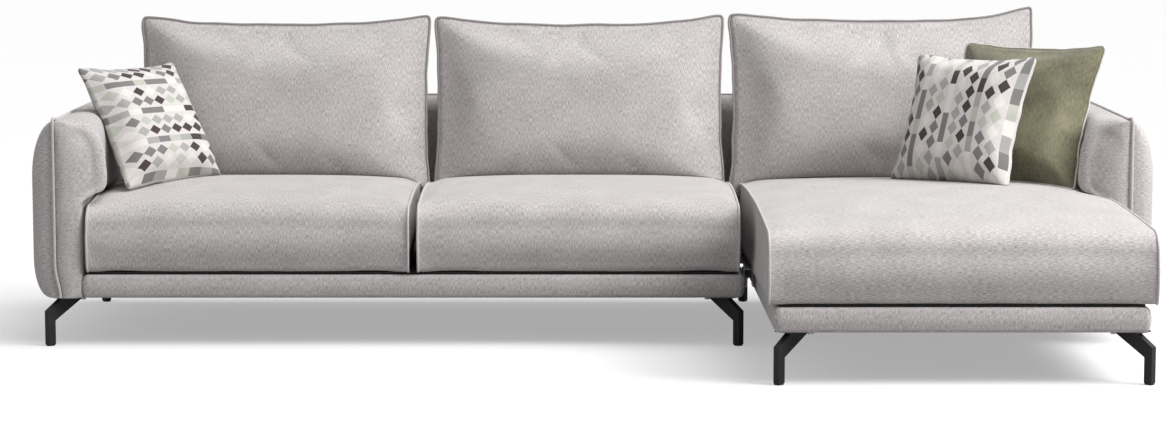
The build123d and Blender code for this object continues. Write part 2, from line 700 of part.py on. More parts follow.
os.makedirs("parts", exist_ok=True)

# Feet: each leg points from its foot towards the middle of its unit
front_foot, rear_foot = sofa_y0 + FOOT_INSET, rear_y - ARM_FOOT_INSET
left_foot = sofa_x0 - ARM_BASE_WIDTH + ARM_FOOT_INSET
right_foot = chaise_x1 + ARM_BASE_WIDTH - ARM_FOOT_INSET
sofa_feet = {
    "front_left": (45, left_foot, front_foot),
    "front_right": (135, sofa_x1 - FOOT_INSET, front_foot),
    "rear_left": (-45, left_foot, rear_foot),
    "rear_right": (-135, sofa_x1 - FOOT_INSET, rear_foot),
}
chaise_feet = {
    "front_left": (45, chaise_x0 + FOOT_INSET, chaise_y0 + FOOT_INSET),
    "front_right": (135, chaise_x1, chaise_y0 + FOOT_INSET),
    "rear_left": (-45, chaise_x0 + FOOT_INSET, rear_foot),
    "rear_right": (-135, right_foot, rear_foot),
}

left_arm, sofa_back = save_unit(
    "sofa",
    sofa_x0,
    sofa_x1,
    sofa_y0,
    SOFA_CROSS_RAILS,
    -1,
    "left_arm",
    (sofa_x0, units_meet_x - BACKREST_END_GAP),
    SOFA_BACK_POSTS,
    SOFA_BACK_BOLTS,
    sofa_feet,
)
right_arm, chaise_back = save_unit(
    "chaise",
    chaise_x0,
    chaise_x1,
    chaise_y0,
    CHAISE_CROSS_RAILS,
    1,
    "right_arm",
    (units_meet_x + BACKREST_END_GAP, chaise_x1),
    CHAISE_BACK_POSTS,
    CHAISE_BACK_BOLTS,
    chaise_feet,
)
save("hook_sockets", [hook_socket(y) for y in hook_places()])
save("hook_plates", [hook_plate(y) for y in hook_places()])

# Seat cushions, left to right
left_seat_x0 = sofa_x0 + SEAT_GAP
middle_seat_x0 = left_seat_x0 + SEAT_WIDTH + SEAT_GAP
seat_left = seat_cushion(left_seat_x0, left_seat_x0 + SEAT_WIDTH, sofa_y0, SEAT_CROWN)
seat_middle = seat_cushion(middle_seat_x0, middle_seat_x0 + SEAT_WIDTH, sofa_y0, SEAT_CROWN)
seat_chaise = seat_cushion(
    chaise_x0 - CHAISE_SIDE_OVERHANG, chaise_x1 + CHAISE_SIDE_OVERHANG, chaise_y0, CHAISE_CROWN
)
arm_room = box_between(
    chaise_x1 - CHAISE_ARM_GAP,
    chaise_x1 + ARM_BASE_WIDTH,
    sofa_y0 - CHAISE_ARM_GAP,
    rear_y,
    LEG_HEIGHT,
    WALL_HEIGHT,
)
seat_chaise -= arm_room
save("seat_cushion_left", seat_left)
save("seat_cushion_middle", seat_middle)
save("chaise_cushion", seat_chaise)

# Back cushions, as wide as the seats and the arms leave room for
left_arm_x = sofa_x0 + ARM_OVERHANG
right_arm_x = chaise_x1 - ARM_OVERHANG
back_width = SEAT_WIDTH - BACK_CUSHION_MARGIN
left_back_x0 = left_arm_x + BACK_CUSHION_SIDE_GAP
middle_back_x0 = left_back_x0 + back_width + BACK_CUSHION_GAP
chaise_back_x0 = middle_back_x0 + back_width + BACK_CUSHION_GAP
chaise_back_width = right_arm_x - CHAISE_BACK_CUSHION_ARM_GAP - chaise_back_x0
back_left = back_cushion(
    left_back_x0 + back_width / 2,
    back_width,
    BACK_CUSHION_HEIGHT,
    BACK_CUSHION_SETBACK,
    BACK_CUSHION_LIFT,
    seat_left,
    sofa_back,
)
back_middle = back_cushion(
    middle_back_x0 + back_width / 2,
    back_width,
    BACK_CUSHION_HEIGHT,
    BACK_CUSHION_SETBACK,
    BACK_CUSHION_LIFT,
    seat_middle,
    sofa_back,
)
back_right = back_cushion(
    chaise_back_x0 + chaise_back_width / 2,
    chaise_back_width,
    CHAISE_BACK_CUSHION_HEIGHT,
    CHAISE_BACK_CUSHION_SETBACK,
    CHAISE_BACK_CUSHION_LIFT,
    seat_chaise,
    chaise_back,
)
save("back_cushion_left", back_left)
save("back_cushion_middle", back_middle)
save("back_cushion_right", back_right)

# Scatter cushions, which lean on the arms and on other cushions
scatter_left = scatter_cushion(
    SCATTER_SIZE,
    left_arm_x + LEFT_SCATTER_FROM_ARM,
    sofa_y0 + LEFT_SCATTER_FROM_FRONT,
    LEFT_SCATTER_LIFT,
    LEFT_SCATTER_TURN,
    LEFT_SCATTER_LEAN,
    seat_left,
    [left_arm, back_left],
)
scatter_olive = scatter_cushion(
    OLIVE_SIZE,
    right_arm_x - OLIVE_FROM_ARM,
    sofa_y0 + OLIVE_FROM_FRONT,
    OLIVE_LIFT,
    OLIVE_TURN,
    OLIVE_LEAN,
    seat_chaise,
    [right_arm, back_right],
)
scatter_right = scatter_cushion(
    SCATTER_SIZE,
    right_arm_x - RIGHT_SCATTER_FROM_ARM,
    sofa_y0 + RIGHT_SCATTER_FROM_FRONT,
    RIGHT_SCATTER_LIFT,
    RIGHT_SCATTER_TURN,
    RIGHT_SCATTER_LEAN,
    seat_chaise,
    [back_right, scatter_olive],
)
save("scatter_cushion_left", scatter_left)
save("scatter_cushion_olive", scatter_olive)
save("scatter_cushion_right", scatter_right)
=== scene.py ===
import math

import bmesh
import bpy
from mathutils import Matrix, Vector, noise
from mathutils.bvhtree import BVHTree


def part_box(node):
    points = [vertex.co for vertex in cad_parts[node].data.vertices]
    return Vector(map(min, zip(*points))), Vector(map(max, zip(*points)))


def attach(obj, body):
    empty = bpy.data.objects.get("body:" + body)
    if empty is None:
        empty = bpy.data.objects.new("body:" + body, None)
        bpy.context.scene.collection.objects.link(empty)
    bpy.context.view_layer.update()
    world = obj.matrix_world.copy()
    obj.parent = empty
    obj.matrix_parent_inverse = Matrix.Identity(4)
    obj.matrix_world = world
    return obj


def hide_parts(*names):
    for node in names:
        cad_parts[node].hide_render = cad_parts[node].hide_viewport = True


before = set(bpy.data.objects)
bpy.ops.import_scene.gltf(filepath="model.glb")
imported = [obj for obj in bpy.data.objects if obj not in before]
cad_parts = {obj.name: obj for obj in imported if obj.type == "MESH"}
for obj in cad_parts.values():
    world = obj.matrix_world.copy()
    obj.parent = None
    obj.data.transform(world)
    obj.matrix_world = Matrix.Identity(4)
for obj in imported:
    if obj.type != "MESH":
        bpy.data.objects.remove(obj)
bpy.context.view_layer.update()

# Timber rails, blocks and frames inside the bases, arms and backrests. They are sawn softwood,
# glued and screwed, and show only from below or with the cushions away.


def add_node(tree, kind, **values):
    node = tree.nodes.new(kind)
    for key, value in values.items():
        if hasattr(node, key):
            setattr(node, key, value)
        else:
            node.inputs[key.replace("_", " ")].default_value = value
    return node


def new_finish(name, roughness, **sockets):
    material = bpy.data.materials.new(name)
    material.use_nodes = True
    shader = material.node_tree.nodes["Principled BSDF"]
    shader.inputs["Roughness"].default_value = roughness
    for key, value in sockets.items():
        shader.inputs[key.replace("_", " ")].default_value = value
    return material, material.node_tree, shader


def wear_finish(chosen, material):
    """Put a material on every solid whose name is chosen."""
    for name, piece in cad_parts.items():
        if chosen(name):
            piece.data.materials.clear()
            piece.data.materials.append(material)


def on_object(tree, *textures):
    """Fix textures to the piece itself."""
    place = add_node(tree, "ShaderNodeTexCoord")
    for texture in textures:
        tree.links.new(place.outputs["Object"], texture.inputs["Vector"])


def in_tones(tree, shader, texture, dark, light, dark_end=0.0, light_end=1.0):
    """Colour a surface between two tones by a texture."""
    tone = add_node(tree, "ShaderNodeValToRGB")
    for element, colour, end in zip(tone.color_ramp.elements, (dark, light), (dark_end, light_end)):
        element.color = (*colour, 1)
        element.position = end
    tree.links.new(texture, tone.inputs["Fac"])
    tree.links.new(tone.outputs["Color"], shader.inputs["Base Color"])


def in_relief(tree, shader, texture, strength, distance):
    """Give a surface fine relief by a texture."""
    bump = add_node(tree, "ShaderNodeBump", Strength=strength, Distance=distance)
    tree.links.new(texture, bump.inputs["Height"])
    tree.links.new(bump.outputs["Normal"], shader.inputs["Normal"])


softwood, tree, shader = new_finish("softwood", 0.62)
stretch = add_node(tree, "ShaderNodeMapping")
stretch.inputs["Scale"].default_value = (3.0, 3.0, 40.0)
grain = add_node(tree, "ShaderNodeTexNoise", Scale=4.0, Detail=6.0, Roughness=0.6, Distortion=0.8)
on_object(tree, stretch)
tree.links.new(stretch.outputs["Vector"], grain.inputs["Vector"])
in_tones(tree, shader, grain.outputs["Fac"], (0.42, 0.29, 0.17), (0.72, 0.56, 0.37))
in_relief(tree, shader, grain.outputs["Fac"], 0.3, 0.001)
wear_finish(lambda n: n.endswith(("_rail", "_rails", "_blocks", "_frame")), softwood)

# Elastic webbing, deck cloth and dust covers. They are dark polypropylene cloth, stapled to the
# timber over and under the seat.
lining, tree, shader = new_finish("dark_lining", 0.9)
fibres = add_node(tree, "ShaderNodeTexNoise", Scale=900.0, Detail=2.0)
on_object(tree, fibres)
in_tones(tree, shader, fibres.outputs["Fac"], (0.010, 0.010, 0.011), (0.040, 0.040, 0.042))
in_relief(tree, shader, fibres.outputs["Fac"], 0.4, 0.0004)
wear_finish(lambda n: n.endswith(("_webbing", "_deck_cloth", "_dust_cover")), lining)

# Angled legs, plates and foot glides. Each leg is a bent steel bar with a fine black powder coat,
# welded to a plate that is screwed up into the base.
powder_coat, tree, shader = new_finish("black_powder_coat", 0.45)
grit = add_node(tree, "ShaderNodeTexNoise", Scale=1400.0, Detail=3.0)
dust = add_node(tree, "ShaderNodeTexNoise", Scale=25.0, Detail=4.0)
gloss = add_node(tree, "ShaderNodeMapRange")
gloss.inputs["To Min"].default_value = 0.36
gloss.inputs["To Max"].default_value = 0.56
on_object(tree, grit, dust)
in_tones(tree, shader, dust.outputs["Fac"], (0.006, 0.006, 0.007), (0.020, 0.020, 0.022))
in_relief(tree, shader, grit.outputs["Fac"], 0.25, 0.0003)
tree.links.new(dust.outputs["Fac"], gloss.inputs["Value"])
tree.links.new(gloss.outputs["Result"], shader.inputs["Roughness"])


def is_leg(name):
    return "_leg_" in name and "screws" not in name


wear_finish(lambda n: is_leg(n) or n.endswith("_foot_glides"), powder_coat)
for name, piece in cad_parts.items():
    if is_leg(name):
        softened = piece.modifiers.new("softened_edges", "BEVEL")
        softened.width = 0.0012
        softened.segments = 2
        softened.limit_method = "ANGLE"

# Screws, bolts and hooks. They are zinc-plated steel, and sit under the base, in the rails and
# between the two units.
zinc, tree, shader = new_finish("zinc_plated_steel", 0.38, Metallic=1.0)
crystals = add_node(tree, "ShaderNodeTexVoronoi", Scale=260.0)
on_object(tree, crystals)
in_tones(tree, shader, crystals.outputs["Distance"], (0.46, 0.47, 0.49), (0.66, 0.67, 0.68))
wear_finish(lambda n: n.endswith(("_leg_screws", "_frame_bolts")) or n.startswith("hook_"), zinc)

# Upholstery cloth and the borders of the two bases. The cloth is a warm light grey weave with
# slubs along the warp; a padded strip of it wraps the front and both ends of each base.
weave = bpy.data.node_groups.new("slub_weave", "ShaderNodeTree")
for name, kind in (
    ("Place", "NodeSocketVector"), ("Dark", "NodeSocketColor"), ("Light", "NodeSocketColor"),
    ("Thread", "NodeSocketFloat"), ("Mottle", "NodeSocketFloat"),
):
    weave.interface.new_socket(name=name, in_out="INPUT", socket_type=kind)
weave.interface.new_socket(name="Color", in_out="OUTPUT", socket_type="NodeSocketColor")
weave.interface.new_socket(name="Height", in_out="OUTPUT", socket_type="NodeSocketFloat")
inlet = weave.nodes.new("NodeGroupInput")
outlet = weave.nodes.new("NodeGroupOutput")
threads = []
for across, along in ((1.0, 0.16), (0.3, 1.0)):
    per_metre = add_node(weave, "ShaderNodeMath", operation="DIVIDE")
    per_metre.inputs[0].default_value = 1.0
    shape = add_node(weave, "ShaderNodeCombineXYZ", X=across, Y=along, Z=1.0)
    scaled = add_node(weave, "ShaderNodeVectorMath", operation="SCALE")
    turned = add_node(weave, "ShaderNodeVectorMath", operation="MULTIPLY")
    slub = add_node(weave, "ShaderNodeTexNoise", Scale=1.0, Detail=2.0, Roughness=0.6)
    weave.links.new(inlet.outputs["Thread"], per_metre.inputs[1])
    weave.links.new(shape.outputs["Vector"], scaled.inputs[0])
    weave.links.new(per_metre.outputs["Value"], scaled.inputs["Scale"])
    weave.links.new(inlet.outputs["Place"], turned.inputs[0])
    weave.links.new(scaled.outputs["Vector"], turned.inputs[1])
    weave.links.new(turned.outputs["Vector"], slub.inputs["Vector"])
    threads.append(slub)
blend = add_node(weave, "ShaderNodeMix")
blend.inputs["Factor"].default_value = 0.36
weave.links.new(threads[0].outputs["Fac"], blend.inputs["A"])
weave.links.new(threads[1].outputs["Fac"], blend.inputs["B"])
clouds = add_node(weave, "ShaderNodeTexNoise", Scale=9.0, Detail=3.0)
soften = add_node(weave, "ShaderNodeMath", operation="SUBTRACT")
soften.inputs[1].default_value = 0.5
cloudy = add_node(weave, "ShaderNodeMath", operation="MULTIPLY_ADD")
contrast = add_node(weave, "ShaderNodeMapRange")
contrast.inputs["From Min"].default_value = 0.34
contrast.inputs["From Max"].default_value = 0.66
colour = add_node(weave, "ShaderNodeMix", data_type="RGBA")
weave.links.new(inlet.outputs["Place"], clouds.inputs["Vector"])
weave.links.new(clouds.outputs["Fac"], soften.inputs[0])
weave.links.new(soften.outputs["Value"], cloudy.inputs[0])
weave.links.new(inlet.outputs["Mottle"], cloudy.inputs[1])
weave.links.new(blend.outputs["Result"], cloudy.inputs[2])
weave.links.new(cloudy.outputs["Value"], contrast.inputs["Value"])
weave.links.new(contrast.outputs["Result"], colour.inputs["Factor"])
weave.links.new(inlet.outputs["Dark"], colour.inputs["A"])
weave.links.new(inlet.outputs["Light"], colour.inputs["B"])
weave.links.new(colour.outputs["Result"], outlet.inputs["Color"])
weave.links.new(blend.outputs["Result"], outlet.inputs["Height"])


def woven_cloth(name, dark, light, thread, mottle=0.12, relief=0.5):
    material, tree, shader = new_finish(name, 0.92, Sheen_Weight=0.25, Sheen_Roughness=0.5)
    place = add_node(tree, "ShaderNodeUVMap", uv_map="cloth")
    cloth = add_node(tree, "ShaderNodeGroup", node_tree=weave)
    cloth.inputs["Dark"].default_value = (*dark, 1)
    cloth.inputs["Light"].default_value = (*light, 1)
    cloth.inputs["Thread"].default_value = thread
    cloth.inputs["Mottle"].default_value = mottle
    tree.links.new(place.outputs["UV"], cloth.inputs["Place"])
    tree.links.new(cloth.outputs["Color"], shader.inputs["Base Color"])
    in_relief(tree, shader, cloth.outputs["Height"], relief, 0.0008)
    return material


grey_cloth = woven_cloth("grey_slub_cloth", (0.27, 0.25, 0.245), (0.68, 0.648, 0.643), thread=0.0020)


def sewn_mesh(name, points, faces, cloth_places, material):
    mesh = bpy.data.meshes.new(name)
    mesh.from_pydata(points, [], faces)
    layer = mesh.uv_layers.new(name="cloth")
    for loop in mesh.loops:
        layer.data[loop.index].uv = cloth_places[loop.vertex_index]
    mesh.materials.append(material)
    mesh.polygons.foreach_set("use_smooth", [True] * len(mesh.polygons))
    piece = bpy.data.objects.new(name, mesh)
    bpy.context.collection.objects.link(piece)
    return piece


def face_outwards(piece):
    shell = bmesh.new()
    shell.from_mesh(piece.data)
    bmesh.ops.recalc_face_normals(shell, faces=shell.faces)
    shell.to_mesh(piece.data)
    shell.free()


def sewn_sheet(name, rows, material, turn_cloth=False, ring=False):
    """A sheet of cloth through rows of points; ring joins the end of each row to its start."""
    count = len(rows[0])
    points = [p for row in rows for p in row]
    middle = count // 2
    places = []
    down = 0.0
    for r, row in enumerate(rows):
        if r:
            down += (row[middle] - rows[r - 1][middle]).length
        along = 0.0
        for c, point in enumerate(row):
            if c:
                along += (point - row[c - 1]).length
            places.append((down, along) if turn_cloth else (along, down))
    faces = []
    for r in range(len(rows) - 1):
        for c in range(count if ring else count - 1):
            d = (c + 1) % count
            faces.append((r * count + c, r * count + d, (r + 1) * count + d, (r + 1) * count + c))
    return sewn_mesh(name, points, faces, places, material)


def own_body(piece, body, node):
    """Let a soft piece ride its body and stand for its solid."""
    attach(piece, body)
    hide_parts(node)


def quarter(steps):
    """Angles of a quarter turn in equal steps, with both ends."""
    return [math.pi / 2 * step / steps for step in range(steps + 1)]


base_low, base_top = 0.130, 0.200
border_top, border_round, border_corner, border_depth, border_bulge = 0.193, 0.013, 0.016, 0.0138, 0.0025
for unit in ("sofa", "chaise"):
    low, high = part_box(unit + "_border")
    left, right, front, rear = low.x, high.x, low.y, high.y
    left_corner, right_corner = [], []
    for angle in quarter(6):
        aside, forwards = math.cos(angle), math.sin(angle)
        y = front + border_corner * (1 - forwards)
        left_corner.append((left + border_corner * (1 - aside), y, -aside, -forwards))
        right_corner.append((right - border_corner * (1 - aside), y, aside, -forwards))
    straight = right - left - 2 * border_corner
    turns = [(left, rear, -1, 0)] + left_corner
    turns += [(left + border_corner + straight * step / 40, front, 0, -1) for step in range(1, 40)]
    turns += right_corner[::-1] + [(right, rear, 1, 0)]
    upper, lower = [], []
    for angle in quarter(5):
        inwards, drop = border_round * (1 - math.sin(angle)), border_round * (1 - math.cos(angle))
        upper.append((inwards, border_top - drop))
        lower.append((inwards, base_low + drop))
    outline = [(border_depth, border_top)] + upper
    for step in range(1, 6):
        share = step / 6
        height = border_top - border_round - (border_top - base_low - 2 * border_round) * share
        outline.append((-border_bulge * math.sin(math.pi * share), height))
    outline += lower[::-1] + [(border_depth, base_low)]
    rows = []
    for inwards, height in outline:
        row = []
        for x, y, out_x, out_y in turns:
            row.append(Vector((x - out_x * inwards, y - out_y * inwards, height)))
        rows.append(row)
    strip = sewn_sheet(unit + "_border_cloth", rows, grey_cloth)
    face_outwards(strip)
    own_body(strip, unit + "_unit", unit + "_border")

# The two arms. Each has a foam pad over its front, top and inside, which overhangs the seat, and a
# puffed outer panel; a welt closes the seam between them over the top and down the front.
seam_out, overhang = 0.072, 0.058
seam_tuck, tuck_height = 0.014, 0.09
arm_front, arm_rise, arm_run = 0.604, 0.018, 0.95
roll_width, roll_drop, top_crown, wall_bulge = 0.078, 0.114, 0.006, 0.003
shelf_height, shelf_rise, shelf_round = 0.388, 0.022, 0.022
top_round, side_round, foot_round = 0.095, 0.062, 0.018
top_inset, side_inset, foot_inset = 0.034, 0.030, 0.010
front_sweep = 0.034
top_steps, roll_steps, wall_steps, corner_steps, shelf_steps, foot_steps = 7, 16, 5, 6, 3, 14
wall_end = top_steps + roll_steps + wall_steps
foot_start = wall_end + corner_steps + shelf_steps + 1
foot_end = foot_start + foot_steps - 1


def smooth_step(value):
    value = min(1.0, max(0.0, value))
    return value * value * (3 - 2 * value)


def arm_top(depth):
    return arm_front + arm_rise * depth / arm_run


def seam_place(height):
    return seam_out - seam_tuck * (1 - smooth_step((height - base_low) / tuck_height))


def arm_outline(top):
    """From the seam on top, over the roll, down the inside and under the foot back to the seam."""
    curve = []
    for step in range(top_steps + 1):
        share = step / top_steps
        out = seam_out - (seam_out + overhang - roll_width) * share
        curve.append((out, top + top_crown * math.sin(math.pi * share * 0.6)))
    start_out, start_height = curve[-1]
    wall_top = top - roll_drop
    for angle in quarter(roll_steps)[1:]:
        height = start_height - (start_height - wall_top) * (1 - math.cos(angle))
        curve.append((start_out - roll_width * math.sin(angle), height))
    corner_top = shelf_height + shelf_rise + shelf_round
    for step in range(1, wall_steps + 1):
        out = -overhang - wall_bulge * math.sin(math.pi * step / (wall_steps + 1))
        curve.append((out, wall_top - (wall_top - corner_top) * step / wall_steps))
    for angle in quarter(corner_steps)[1:]:
        out = shelf_round * (1 - math.cos(angle)) - overhang
        curve.append((out, corner_top - shelf_round * math.sin(angle)))
    for step in range(1, shelf_steps + 1):
        left_over = 1 - step / shelf_steps
        curve.append(((shelf_round - overhang) * left_over, shelf_height + shelf_rise * left_over))
    for step in range(1, foot_steps + 1):
        curve.append((0.0, shelf_height - (shelf_height - base_low) * step / foot_steps))
    for step in range(1, 5):
        curve.append((seam_place(base_low) * step / 4, base_low))
    return curve


def outline_normals(curve):
    normals = []
    for i in range(len(curve)):
        a, b = curve[max(0, i - 1)], curve[min(len(curve) - 1, i + 1)]
        run, rise = b[0] - a[0], b[1] - a[1]
        size = math.hypot(run, rise)
        normals.append((rise / size, -run / size))
    return normals


piping_tree = bpy.data.node_groups.new("covered_cord", "GeometryNodeTree")
piping_tree.interface.new_socket(name="Geometry", in_out="INPUT", socket_type="NodeSocketGeometry")
piping_tree.interface.new_socket(name="Radius", in_out="INPUT", socket_type="NodeSocketFloat")
piping_tree.interface.new_socket(name="Cloth", in_out="INPUT", socket_type="NodeSocketMaterial")
piping_tree.interface.new_socket(name="Geometry", in_out="OUTPUT", socket_type="NodeSocketGeometry")
inlet = piping_tree.nodes.new("NodeGroupInput")
outlet = piping_tree.nodes.new("NodeGroupOutput")
to_curve = piping_tree.nodes.new("GeometryNodeMeshToCurve")
spacing = add_node(piping_tree, "GeometryNodeResampleCurve", mode="LENGTH")
spacing.inputs["Length"].default_value = 0.006
profile = add_node(piping_tree, "GeometryNodeCurvePrimitiveCircle")
profile.inputs["Resolution"].default_value = 8
sweep = piping_tree.nodes.new("GeometryNodeCurveToMesh")
sweep.inputs["Fill Caps"].default_value = True
dress = piping_tree.nodes.new("GeometryNodeSetMaterial")
shade = piping_tree.nodes.new("GeometryNodeSetShadeSmooth")
realize = piping_tree.nodes.new("GeometryNodeRealizeInstances")
piping_tree.links.new(inlet.outputs["Geometry"], to_curve.inputs["Mesh"])
piping_tree.links.new(to_curve.outputs["Curve"], spacing.inputs["Curve"])
piping_tree.links.new(spacing.outputs["Curve"], sweep.inputs["Curve"])
piping_tree.links.new(inlet.outputs["Radius"], profile.inputs["Radius"])
piping_tree.links.new(profile.outputs["Curve"], sweep.inputs["Profile Curve"])
piping_tree.links.new(sweep.outputs["Mesh"], shade.inputs["Geometry"])
piping_tree.links.new(shade.outputs["Geometry"], realize.inputs["Geometry"])
piping_tree.links.new(realize.outputs["Geometry"], dress.inputs["Geometry"])
piping_tree.links.new(inlet.outputs["Cloth"], dress.inputs["Material"])
piping_tree.links.new(dress.outputs["Geometry"], outlet.inputs["Geometry"])
piping_inputs = {}
for item in piping_tree.interface.items_tree:
    if item.in_out == "INPUT":
        piping_inputs[item.name] = item.identifier


def cord_cloth(name, dark, light):
    material, tree, shader = new_finish(name, 0.9, Sheen_Weight=0.25)
    twist = add_node(tree, "ShaderNodeTexNoise", Scale=700.0, Detail=2.0)
    on_object(tree, twist)
    in_tones(tree, shader, twist.outputs["Fac"], dark, light, 0.3, 0.7)
    in_relief(tree, shader, twist.outputs["Fac"], 0.5, 0.0006)
    return material


grey_cord = cord_cloth("grey_cord_cloth", (0.19, 0.175, 0.17), (0.42, 0.395, 0.39))
# A lighter copy of the cord cloth for the arm welts and the seat piping: its lighter tone is a painted
# highlight along the cord, where the same grey cloth catches the light.
highlight_painted_cord = cord_cloth("highlight_painted_cord_cloth", (0.40, 0.375, 0.37), (0.66, 0.63, 0.62))


def covered_cord(name, path, radius, body, material=None, closed=False):
    """Piping: a cord in cloth along a path of points, swept by the covered_cord tree."""
    mesh = bpy.data.meshes.new(name)
    edges = [(i, i + 1) for i in range(len(path) - 1)]
    if closed:
        edges.append((len(path) - 1, 0))
    mesh.from_pydata([tuple(p) for p in path], edges, [])
    line = bpy.data.objects.new(name + "_line", mesh)
    bpy.context.collection.objects.link(line)
    modifier = line.modifiers.new("covered_cord", "NODES")
    modifier.node_group = piping_tree
    modifier[piping_inputs["Radius"]] = radius
    modifier[piping_inputs["Cloth"]] = material or grey_cord
    bpy.context.view_layer.update()
    evaluated = line.evaluated_get(bpy.context.evaluated_depsgraph_get())
    cord = bpy.data.objects.new(name, bpy.data.meshes.new_from_object(evaluated))
    bpy.context.collection.objects.link(cord)
    bpy.data.objects.remove(line)
    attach(cord, body)
    return cord


def puffed(share):
    """Rise of a stuffed face from its seam: a quarter round that levels out at a share of 1."""
    return math.sqrt(max(0.0, 1 - (1 - min(1.0, share)) ** 2))


arm_supports = {}
recess, recess_start, recess_run = 0.024, 0.04, 0.12
seam_depth, front_swell, swell_run, seam_hurry = 0.006, 0.006, 0.08, 1.13
panel_out, panel_front, panel_rear, panel_high, panel_low = 0.138, 0.050, 0.085, 0.150, 0.110
welt_radius, welt_lift, welt_turn, welt_end = 0.0042, 0.002, 0.600, 0.131
ear_height, ear_run = 0.007, 0.035
for arm, unit, side in (("left_arm", "sofa_unit", -1), ("right_arm", "chaise_unit", 1)):
    low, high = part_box(arm + "_pad")
    foot_x = high.x - overhang if side < 0 else low.x + overhang
    front, rear = low.y, high.y
    depth = rear - front
    rise = arm_top(depth) - arm_front
    wall_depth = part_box("sofa_back_pad")[0].y - front
    depths = [depth * (1 - step / 24) for step in range(24)] + [wall_depth + 0.002, wall_depth - 0.002]
    depths = sorted((d for d in depths if d > top_round * 1.05), reverse=True)
    curve = arm_outline(arm_front)
    spans = [0.0]
    for a, b in zip(curve, curve[1:]):
        spans.append(spans[-1] + math.hypot(b[0] - a[0], b[1] - a[1]))
    shelf_span = spans[foot_start] - spans[wall_end]
    rounds, goals = [], []
    for i, ((out, height), (inwards, upwards)) in enumerate(zip(curve, outline_normals(curve))):
        kept = smooth_step(spans[i] / swell_run)
        turn = (top_round + (side_round - top_round) * abs(inwards)) * (0.1 + 0.9 * kept)
        inset = (top_inset + (side_inset - top_inset) * abs(inwards)) * kept
        if i >= foot_start:
            turn, inset = foot_round, foot_inset
        if i > foot_end:
            goals.append((out, height))
        else:
            goals.append((out - inwards * inset, height - upwards * inset))
        rounds.append(turn)
    goals[foot_start] = (foot_inset, curve[foot_start][1])
    for i in range(wall_end + 1, foot_start):
        share = (spans[i] - spans[wall_end]) / shelf_span
        start, end = goals[wall_end], goals[foot_start]
        goals[i] = (start[0] + (end[0] - start[0]) * share, start[1] + (end[1] - start[1]) * share)
        rounds[i] = rounds[wall_end] + (foot_round - rounds[wall_end]) * share
    sweeps = [front_sweep * smooth_step(span / 0.12) for span in spans]
    for i in range(wall_end, len(curve)):
        sweeps[i] *= 1 - smooth_step((spans[i] - spans[wall_end]) / shelf_span)
    rows = []
    for i, (curve_out, curve_height) in enumerate(curve):
        row = []
        seam_height = base_low + (arm_front - base_low) * max(0.0, 1 - spans[i] / spans[-1] * seam_hurry)
        lifted = curve_height + rise * (curve_height - base_low) / (arm_front - base_low)
        rear_edge = Vector((foot_x + side * max(0.0, curve_out), rear, lifted))
        rear_seam = Vector((foot_x + side * seam_out, rear, seam_height + rise))
        for step in range(5):
            row.append(rear_seam.lerp(rear_edge, step / 5))
        for d in depths:
            out, height = arm_outline(arm_top(d))[i]
            if d > wall_depth:
                out = max(0.0, out)
            out += recess * smooth_step((d - recess_start) / recess_run) * (max(0.0, -out) / overhang) ** 2
            row.append(Vector((foot_x + side * out, front + d, height)))
        for angle in quarter(8):
            moved = 1 - math.cos(angle)
            out = curve_out + (goals[i][0] - curve_out) * moved
            height = curve_height + (goals[i][1] - curve_height) * moved
            back = sweeps[i] + (rounds[i] - sweeps[i]) * (1 - math.sin(angle))
            row.append(Vector((foot_x + side * out, front + back, height)))
        edge = row[-1]
        seam = Vector((foot_x + side * seam_place(seam_height), front + seam_depth, seam_height))
        swell = front_swell * smooth_step(spans[i] / swell_run) * smooth_step((spans[-1] - spans[i]) / 0.05)
        for step in range(1, 11):
            share = step / 10
            point = edge.lerp(seam, share)
            point.y = front + seam_depth * smooth_step((share - 0.8) / 0.2)
            point.y += sweeps[i] * (1 - share) ** 2 - swell * math.sin(math.pi * share)
            row.append(point)
        rows.append(row)
    pad = sewn_sheet(arm + "_pad_cloth", rows, grey_cloth, turn_cloth=True)
    face_outwards(pad)
    own_body(pad, unit, arm + "_pad")
    arm_supports[arm] = pad

    rows = []
    for r in range(33):
        v = r / 32
        row = []
        for c in range(49):
            d = depth * (1 - math.cos(math.pi * c / 48)) / 2
            top = arm_top(d)
            height = base_low + (top - base_low) * (1 - math.cos(math.pi * v)) / 2
            swell = puffed(min(d / panel_front, (depth - d) / panel_rear))
            swell *= puffed((top - height) / panel_high)
            swell *= 0.5 + 0.5 * puffed((height - base_low) / panel_low)
            start = seam_place(height)
            out = start + (panel_out - start) * swell
            row.append(Vector((foot_x + side * out, front + max(d, 0.005), height)))
        rows.append(row)
    panel = sewn_sheet(arm + "_panel_cloth", rows, grey_cloth, turn_cloth=True)
    face_outwards(panel)
    own_body(panel, unit, arm + "_panel")

    welt = []
    seam_x = foot_x + side * seam_out
    for step in range(40):
        d = depth - (depth - 0.012) * step / 39
        ear = ear_height * math.exp(-((d / ear_run) ** 2))
        welt.append(Vector((seam_x, front + d, arm_top(d) + welt_lift + ear)))
    welt.append(Vector((seam_x, front + welt_lift, welt_turn + 0.012)))
    welt.append(Vector((seam_x, front - welt_lift, welt_turn)))
    for step in range(1, 40):
        height = welt_turn - (welt_turn - welt_end) * step / 39
        welt.append(Vector((foot_x + side * seam_place(height), front - welt_lift, height)))
    # The welt is swept in the lighter cord cloth, whose tone is a painted highlight.
    covered_cord(arm + "_welt", welt, welt_radius, unit, material=highlight_painted_cord)

